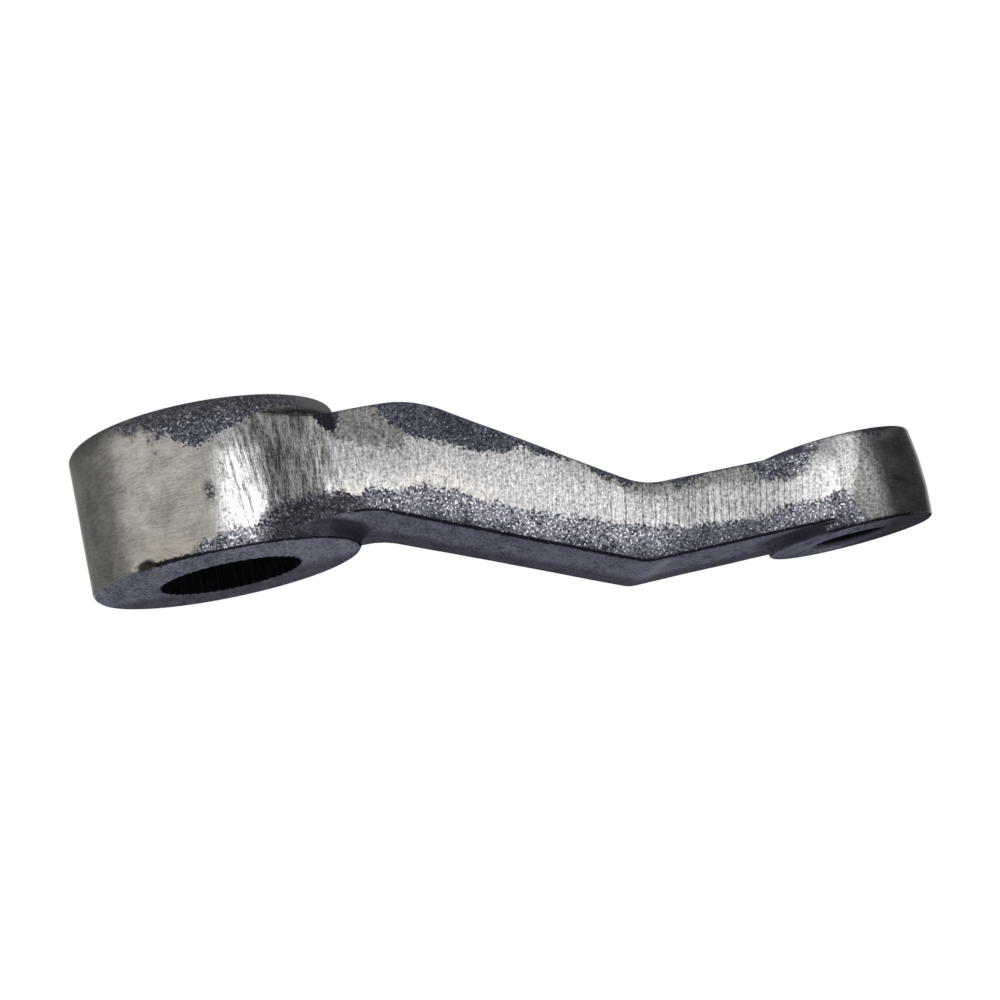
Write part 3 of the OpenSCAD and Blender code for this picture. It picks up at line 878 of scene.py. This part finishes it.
# Belt-ground satin: how its noises add up, its colours on the hub and the eye, rust, and rubbed streaks
BELT_CLOUD = 0.65
BELT_BRUSHED = 0.6
BELT_FINE = 0.25
BELT_RANGE = (0.56, 0.99)
BELT_STEEL = ((0.22, 0.206, 0.183, 1), (0.54, 0.512, 0.47, 1))
RUST_RANGE = (0.35, 1.2)
RUST_BROWN = (0.34, 0.255, 0.185, 1)
EYE_BELT_RANGE = (0.5, 1.05)
EYE_BELT_STEEL = ((0.06, 0.06, 0.06, 1), (0.3, 0.296, 0.296, 1))
RUBBED_BORDER = (7, 0.5)
RUBBED_RANGE = (0.42, 0.68)
RUBBED_SHARE = (60, 50, 0.0, 0.75)
RUBBED_STEEL = (0.23, 0.223, 0.21, 1)

# What lies over skin and steel: the scuff, painted shade on the rim, along the hub's upper edge and on
# the ledge under it, a painted highlight on the crescent, and the nick
SCUFF_RANGE = (0.36, 0.56)
SCUFF_BLACK = (0.05, 0.05, 0.055, 1)
RIM_GRAIN = 0.9
RIM_RANGE = (0.15, 0.5, 0.0, 0.96)
RIM_SHADE_BLACK = (0.006, 0.006, 0.009, 1)
LAST_TINTS = [
    ("upper_edge_shade", 0.62, (0.04, 0.04, 0.043, 1)),
    ("crescent_light", 0.75, (0.13, 0.13, 0.132, 1)),
    ("ledge", 0.88, (0.02, 0.02, 0.022, 1)),
]
NICK_RANGE = (0.15, 0.5)
NICK_BROWN = (0.03, 0.028, 0.022, 1)

# How metallic the skin and the dull steel are, and what the eye's end lacks
SKIN_METAL = 0.3
DULL_METAL = 0.72
EYE_METAL_LOSS = (134, 140, 0.0, 0.06)
# Roughness, as the share of a noise and what it is added to
GROUND_ROUGH = (0.16, 0.22)
SKIN_ROUGH = (0.2, 0.5)
BORE_ROUGH = (0.2, 0.35)
# Bumps: shares of the noises, strength, and depth in millimetres
SKIN_BUMP_FINER = 0.5
FACE_BUMP = 0.3
BAND_BUMP_FINE = 0.3
BAND_BUMP_SCRATCH = 0.4
BAND_BUMP_GROOVE = 0.35
BELT_BUMP = 0.3
FORGED_BUMP = (0.6, 0.14)
BORE_BUMP = (0.3, 0.05)

# Bores: painted shade below, where no light gets in, plain steel above, and painted light at the mouth
# of the stud's hole
BORE_RANGE = (0.3, 0.75)
BORE_SHADE = ((0.002, 0.002, 0.003, 1), (0.009, 0.009, 0.011, 1))
BORE_UNSHADED = ((0.09, 0.09, 0.095, 1), (0.22, 0.22, 0.226, 1))
HUB_UNSHADED_Z = (9, 20)
STUD_UNSHADED_Z = (EYE_LOW + 4, EYE_LOW + 11)
STUD_MOUTH_LIGHT_Z = (EYE_LOW + 1.2, EYE_LOW + 0.3)
STUD_MOUTH_LIGHT = (0.045, 0.047, 0.06, 1)


def borders(g, mm, x, fine, cloud):
    """Masks of the ground strip, its bright part and the satin: the skin's high spots go first."""
    jag = g.swing(g.noise(mm, *JAG), JAG_REACH, g.swing(fine, JAG_FINE_REACH))
    patches = g.product(g.math("SUBTRACT", cloud, PATCH_START), PATCH_REACH)
    patches = g.product(patches, g.field("patchy"))
    ground = g.math("ADD", g.math("ADD", g.field("ground"), patches), jag)
    ground = g.ramp(g.math("DIVIDE", ground, g.field("feather")), -1, 1)
    ground = g.product(ground, g.ramp(g.field("side"), *GROUND_SIDE))
    bright = g.ramp(g.add(jag, g.ramp(x, *BRIGHT_CRISP), g.field("bright")), *BRIGHT_EDGE)
    satin = g.ramp(g.math("ADD", g.field("satin"), jag), *SATIN_EDGE)
    return ground, bright, satin


def blasted_skin(g, fine, finer, cloud):
    """Colour of the blasted skin: dark, with flecks and dots as painted glints where light finds a flat."""
    worn = g.field("worn")
    dim = g.field("dim")
    flecks = g.add(worn, FLECK_BY_WEAR, g.swing(cloud, FLECK_BY_CLOUD, fine))
    skin = g.mix(g.level(flecks, *FLECK_RANGE), SKIN_DARK, g.mix(worn, SKIN_FLECK, WORN_FLECK))
    dots = g.swing(cloud, DOT_BY_CLOUD, g.add(worn, DOT_BY_WEAR, finer))
    dots = g.ramp(g.add(dim, DOT_BY_DIM, dots), *DOT_RANGE)
    dots = g.product(dots, g.ramp(dim, 0.0, 1.0, 1.0, DOTS_IN_DIM))
    skin = g.tinted(skin, DIM_TINT)
    return g.mix(dots, skin, g.mix(worn, SKIN_GLINT_DOT, WORN_GLINT_DOT))


def smooth_face(g, x, z):
    """Colour of the faces that stay smooth, with dust drawn out along y."""
    drawn = g.joined(x, g.field("grain_y"), z)
    dust = g.swing(g.noise(drawn, *DUST_GRAIN), DUST_GRAIN_SHARE, g.noise(drawn, *DUST))
    dusty = g.level(dust, *DUST_RANGE)
    dusty = g.add(g.ramp(x, *RIGHT_DUST), RIGHT_DUST_SHARE, dusty)
    at_toe = g.product(*(g.ramp(x, *step) for step in TOE_DUST))
    dusty = g.add(at_toe, TOE_DUST_SHARE, dusty)
    face = g.mix(g.ramp(x, *FACE_CHANGE), g.mix(dusty, *HUB_FACE), g.mix(dusty, *ARM_FACE))
    return g.tinted(face, FACE_TINTS)


def wheel_marks(g, mm, x, z, fine, finer):
    """Tone of ground steel, and the scratches, gouges and grooves in it, all along the bore's axis."""
    run = g.field("run")
    strength = g.field("row_strength")
    row = g.add(g.noise(mm, *ROW_BEND), ROW_BEND_SHARE, g.field("row"))
    rows = {"W": row, "Scale": 1.0, "Randomness": ROW_RANDOM}
    cells = g.put("ShaderNodeTexVoronoi", rows, voronoi_dimensions="1D")
    lines = g.put("ShaderNodeTexVoronoi", rows, voronoi_dimensions="1D", feature="DISTANCE_TO_EDGE")
    row_level = g.put("ShaderNodeSeparateColor", {0: cells.outputs["Color"]}).outputs[0]
    row_level = g.swing(row_level, strength)
    groove = g.product(g.ramp(lines.outputs["Distance"], 0.0, GROOVE_WIDTH, 1.0, 0.0), strength)
    scratch = g.noise(g.joined(run, 0.0, g.product(z, SCRATCH_STRETCH)), *SCRATCH)
    grain = g.swing(fine, FINE_SHARE, g.swing(finer, FINER_SHARE))
    grain = g.swing(scratch, g.ramp(x, *SCRATCH_SHARE), grain)
    leaning = g.add(z, g.ramp(x, *GOUGE_LEAN), run)
    gouge = g.noise(g.joined(leaning, 0.0, g.product(z, GOUGE_STRETCH)), *GOUGE)
    streaks = g.swing(gouge, GOUGE_SHARE, g.product(grain, STREAK_GRAIN))
    tone = g.math("ADD", g.blend(g.field("streaky"), grain, streaks), 0.5)
    tone = g.add(row_level, ROW_SHARE, tone)
    tone = g.math("SUBTRACT", tone, g.product(groove, GROOVE_SHARE))
    return tone, scratch, gouge, groove


def ground_steel(g, tone, cloud, bright):
    """Colour of the ground strip: dull, and bright where the last pass went."""
    band = g.times(g.mix(g.level(tone, *BAND_RANGE), *BAND_STEEL), g.field("band_level"))
    band = g.mix(g.product(g.field("warm"), g.level(cloud, *WARM_RANGE)), band, WARM_STEEL)
    dull = g.times(g.mix(g.level(tone, *DULL_RANGE), *DULL_STEEL), g.field("dull_level"))
    return g.mix(bright, dull, band)


def belt_steel(g, x, fine, cloud, brushed, gouge):
    """Colour of the belt-ground satin: fine short lines round the hub and the eye."""
    tone = g.add(brushed, BELT_BRUSHED, g.product(fine, BELT_FINE))
    tone = g.add(cloud, BELT_CLOUD, tone)
    hub_belt = g.mix(g.level(tone, *BELT_RANGE), *BELT_STEEL)
    hub_belt = g.mix(g.product(g.field("rust"), g.level(cloud, *RUST_RANGE)), hub_belt, RUST_BROWN)
    eye_belt = g.mix(g.level(tone, *EYE_BELT_RANGE), *EYE_BELT_STEEL)
    belt = g.mix(g.ramp(x, *HALFWAY), hub_belt, eye_belt)
    rubbed = g.product(g.ramp(g.field("satin"), *RUBBED_BORDER), g.level(gouge, *RUBBED_RANGE))
    return g.mix(g.product(rubbed, g.ramp(x, *RUBBED_SHARE)), belt, RUBBED_STEEL)


def forged_steel():
    """The forging's outside: blasted skin, ground strip and belt-ground ends."""
    material, g = new_material("forged_steel")
    mm, (x, _, z) = g.millimetres()
    fine = g.noise(mm, *FINE)
    finer = g.noise(mm, *FINER)
    cloud = g.noise(mm, *CLOUD)
    brushed = g.noise(g.scaled(mm, BRUSHED_STRETCH), *BRUSHED)
    ground, bright, satin = borders(g, mm, x, fine, cloud)
    tone, scratch, gouge, groove = wheel_marks(g, mm, x, z, fine, finer)

    grainy = g.product(g.field("grainy"), g.math("SUBTRACT", 1.0, g.field("steps"), clamp=True))
    skin = g.mix(grainy, smooth_face(g, x, z), blasted_skin(g, fine, finer, cloud))
    skin = g.tinted(skin, SKIN_TINTS)
    steel = ground_steel(g, tone, cloud, bright)
    steel = g.mix(satin, steel, belt_steel(g, x, fine, cloud, brushed, gouge))
    steel = g.mix(g.product(g.field("scuff"), g.ramp(fine, *SCUFF_RANGE)), steel, SCUFF_BLACK)
    colour = g.mix(ground, skin, steel)
    colour = g.mix(g.ramp(g.swing(fine, RIM_GRAIN, g.field("rim")), *RIM_RANGE), colour, RIM_SHADE_BLACK)
    colour = g.tinted(colour, LAST_TINTS)
    colour = g.mix(g.ramp(g.field("nick"), *NICK_RANGE), colour, NICK_BROWN)

    ground_metal = g.blend(g.math("MAXIMUM", bright, satin), DULL_METAL, 1.0)
    ground_metal = g.math("SUBTRACT", ground_metal, g.ramp(x, *EYE_METAL_LOSS))
    metal = g.blend(ground, g.product(grainy, SKIN_METAL), ground_metal)
    rough = g.blend(ground, g.add(fine, *SKIN_ROUGH), g.add(scratch, *GROUND_ROUGH))

    skin_bump = g.blend(grainy, g.product(fine, FACE_BUMP), g.add(finer, SKIN_BUMP_FINER, fine))
    band_bump = g.add(fine, BAND_BUMP_FINE, g.product(scratch, BAND_BUMP_SCRATCH))
    band_bump = g.math("SUBTRACT", band_bump, g.product(groove, BAND_BUMP_GROOVE))
    ground_bump = g.blend(satin, band_bump, g.product(brushed, BELT_BUMP))
    g.steel(colour, metal, rough, g.blend(ground, skin_bump, ground_bump), *FORGED_BUMP)
    return material


def bore_steel():
    """The walls of the bore and of the stud's hole."""
    material, g = new_material("bore_steel")
    mm, (x, _, z) = g.millimetres()
    drawn = g.noise(g.scaled(mm, DRAWN_STRETCH), *DRAWN)
    tone = g.ramp(drawn, *BORE_RANGE)
    at_eye = g.ramp(x, *HALFWAY)
    unshaded = g.blend(at_eye, g.ramp(z, *HUB_UNSHADED_Z), g.ramp(z, *STUD_UNSHADED_Z))
    colour = g.mix(unshaded, g.mix(tone, *BORE_SHADE), g.mix(tone, *BORE_UNSHADED))
    colour = g.mix(g.product(g.ramp(z, *STUD_MOUTH_LIGHT_Z), at_eye), colour, STUD_MOUTH_LIGHT)
    g.steel(colour, 0.0, g.add(drawn, *BORE_ROUGH), drawn, *BORE_BUMP)
    return material


mesh.materials.append(forged_steel())
mesh.materials.append(bore_steel())
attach(forging, "root")
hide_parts(NODE)


# Set: a white floor and world, one soft lamp, and two dark cards that only reflections see.
# Its sizes are in metres.
CENTRE = Vector((low + high) / 2 * MM)
FLOOR_Z = -0.6
FLOOR_SIZE = (8, 8)
FLOOR_WHITE = (0.8, 0.8, 0.8, 1)
FLOOR_GLOW = 0.34
WHITE = (1, 1, 1, 1)
# The world's strength as light on the object, and as seen by the camera and in reflections
SKY_LIGHT = 0.85
SKY_SEEN = 1.0
# Each card's azimuth, width and grey level, and the height, elevation and distance of both
CARDS = {"card_left": (-112.5, 0.74, 0.27), "card_right": (88, 1.0, 0.075)}
CARD_HEIGHT = 1.2
CARD_ELEVATION = 8
CARD_DISTANCE = 0.55
# The lamp's azimuth, elevation and distance, its size, and its power in watts
KEY_PLACE = (28, 6, 0.8)
KEY_SIZE = (0.38, 0.24)
KEY_POWER = 0.66


def add_object(name, data):
    """A new object in the scene."""
    obj = bpy.data.objects.new(name, data)
    bpy.context.scene.collection.objects.link(obj)
    return obj


def plane(name, size, place, facing, material):
    """A flat rectangle about place, in metres, that faces along facing."""
    w, h = (s / 2 for s in size)
    corners = [(-w, -h, 0), (w, -h, 0), (w, h, 0), (-w, h, 0)]
    card = bpy.data.meshes.new(name)
    card.from_pydata(corners, [], [(0, 1, 2, 3)])
    card.materials.append(material)
    obj = add_object(name, card)
    obj.location = place
    obj.rotation_euler = Vector(facing).to_track_quat("Z", "Y").to_euler()
    return obj


def around(azimuth, elevation, distance):
    """A place round the object: azimuth 0 is in front of it, 90 on its eye's side."""
    a = math.radians(azimuth)
    e = math.radians(elevation)
    out = Vector((math.sin(a) * math.cos(e), -math.cos(a) * math.cos(e), math.sin(e)))
    return CENTRE + distance * out


def floor_white():
    """White paint that glows a little, so that the floor is as white as the world."""
    material, g = new_material("floor_white")
    wash = g.put("ShaderNodeBsdfDiffuse", {"Color": FLOOR_WHITE})
    glow = g.put("ShaderNodeEmission", {"Color": WHITE, "Strength": FLOOR_GLOW})
    both = g.put("ShaderNodeAddShader", {0: wash.outputs[0], 1: glow.outputs[0]})
    g.put("ShaderNodeOutputMaterial", {"Surface": both.outputs[0]})
    return material


def card_grey(name, level):
    """A glow of one even grey, whatever light falls on it, standing in for a grey cloth."""
    material, g = new_material(name)
    glow = g.put("ShaderNodeEmission", {"Color": (level, level, level, 1), "Strength": 1.0})
    g.put("ShaderNodeOutputMaterial", {"Surface": glow.outputs[0]})
    return material


def studio_world():
    """A white world, a little weaker as a light than it looks."""
    world = bpy.data.worlds.new("studio")
    world.use_nodes = True
    g = Graph(world.node_tree)
    rays = g.put("ShaderNodeLightPath")
    seen = g.math("MAXIMUM", rays.outputs["Is Camera Ray"], rays.outputs["Is Glossy Ray"])
    seen = g.math("MAXIMUM", seen, rays.outputs["Is Transmission Ray"])
    strength = g.ramp(seen, 0.0, 1.0, SKY_LIGHT, SKY_SEEN)
    sky = g.put("ShaderNodeBackground", {"Color": WHITE, "Strength": strength})
    g.put("ShaderNodeOutputWorld", {"Surface": sky.outputs[0]})
    return world


plane("floor", FLOOR_SIZE, (0, 0, FLOOR_Z), (0, 0, 1), floor_white())
for name, (azimuth, width, level) in CARDS.items():
    place = around(azimuth, CARD_ELEVATION, CARD_DISTANCE)
    card = plane(name, (width, CARD_HEIGHT), place, CENTRE - place, card_grey(name, level))
    card.visible_camera = False
    card.visible_diffuse = False
    card.visible_transmission = False
    card.visible_shadow = False
bpy.context.scene.world = studio_world()

light = bpy.data.lights.new("key", "AREA")
light.shape = "RECTANGLE"
light.size, light.size_y = KEY_SIZE
light.energy = KEY_POWER
key = add_object("key", light)
key.location = around(*KEY_PLACE)
key.rotation_euler = (CENTRE - key.location).to_track_quat("-Z", "Y").to_euler()

# Camera, solved from the photograph's hub and eye circles
FOCAL_PX = 1488
IMAGE_PX = 1000
SENSOR_MM = 36
NEAREST = 0.01
CAMERA_PLACE = Vector((35.8, -322.3, -59.3)) * MM
CAMERA_FORWARD = Vector((0.0760, 0.9788, 0.1903))
CAMERA_RIGHT = Vector((0.9727, -0.0308, -0.2299))
camera = bpy.data.cameras.new("camera")
camera.sensor_width = SENSOR_MM
camera.lens = FOCAL_PX / IMAGE_PX * SENSOR_MM
camera.clip_start = NEAREST
eye_point = add_object("camera", camera)
forward = CAMERA_FORWARD.normalized()
right = (CAMERA_RIGHT - CAMERA_RIGHT.dot(forward) * forward).normalized()
up = right.cross(forward)
turn = Matrix((right, up, -forward)).transposed()
eye_point.matrix_world = Matrix.Translation(CAMERA_PLACE) @ turn.to_4x4()
bpy.context.scene.camera = eye_point
bpy.context.scene.view_settings.view_transform = "Standard"
